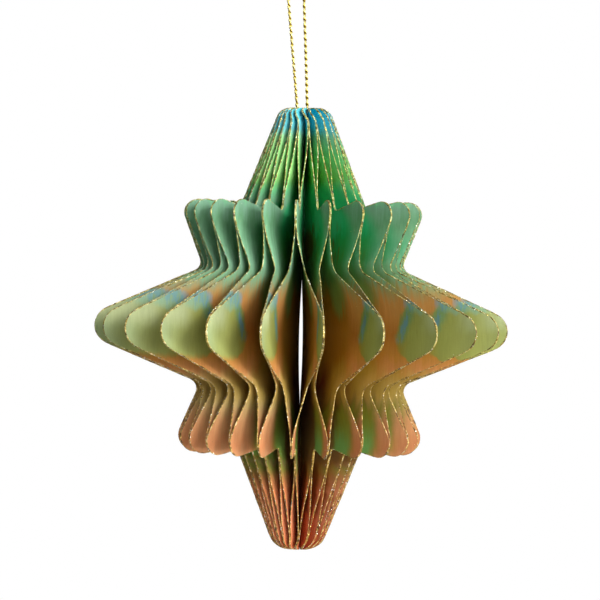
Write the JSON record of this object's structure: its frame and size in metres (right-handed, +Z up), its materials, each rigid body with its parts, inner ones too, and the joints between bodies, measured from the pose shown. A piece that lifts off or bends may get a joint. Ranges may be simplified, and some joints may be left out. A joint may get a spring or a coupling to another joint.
{
  "type": "paper star ornament",
  "caption": "Hanging honeycomb star of die-cut printed paper leaves with gold glitter edges, glued in alternate bands round a hollow core, on a loop of gold cord.",
  "frame": {"origin": "where a hook bears on the inside of the hanging loop's bend", "axes": "+Z up, along the star's axis; the pictured front faces -Y and +X is to its right; the star's axis is 3.24 mm towards +X from the origin, because the loop leans a little"},
  "size_m": [0.1011, 0.101, 0.1476],
  "materials": {
    "printed_paper": "matt handmade paper printed on both faces with a soft wash of teal, leaf green, straw and terracotta; gold glitter on the cut edge",
    "gold_cord": "twisted metallic gold thread"
  },
  "bodies": {
    "root": {"leaf_01": "printed_paper", "leaf_02": "printed_paper", "leaf_03": "printed_paper", "leaf_04": "printed_paper", "leaf_05": "printed_paper", "leaf_06": "printed_paper", "leaf_07": "printed_paper", "leaf_08": "printed_paper", "leaf_09": "printed_paper", "leaf_10": "printed_paper", "leaf_11": "printed_paper", "leaf_12": "printed_paper", "leaf_13": "printed_paper", "leaf_14": "printed_paper", "leaf_15": "printed_paper", "leaf_16": "printed_paper", "leaf_17": "printed_paper", "leaf_18": "printed_paper", "leaf_19": "printed_paper", "leaf_20": "printed_paper", "leaf_21": "printed_paper", "leaf_22": "printed_paper", "leaf_23": "printed_paper", "leaf_24": "printed_paper", "leaf_25": "printed_paper", "leaf_26": "printed_paper", "leaf_27": "printed_paper", "leaf_28": "printed_paper", "leaf_29": "printed_paper", "leaf_30": "printed_paper", "leaf_31": "printed_paper", "leaf_32": "printed_paper", "leaf_33": "printed_paper", "leaf_34": "printed_paper", "leaf_35": "printed_paper", "leaf_36": "printed_paper", "leaf_37": "printed_paper", "leaf_38": "printed_paper", "leaf_39": "printed_paper", "leaf_40": "printed_paper", "leaf_41": "printed_paper", "leaf_42": "printed_paper", "leaf_43": "printed_paper", "leaf_44": "printed_paper", "leaf_45": "printed_paper", "leaf_46": "printed_paper", "leaf_47": "printed_paper", "leaf_48": "printed_paper", "hanging_cord": "gold_cord", "cord_knot": "gold_cord"}
  },
  "joints": []
}
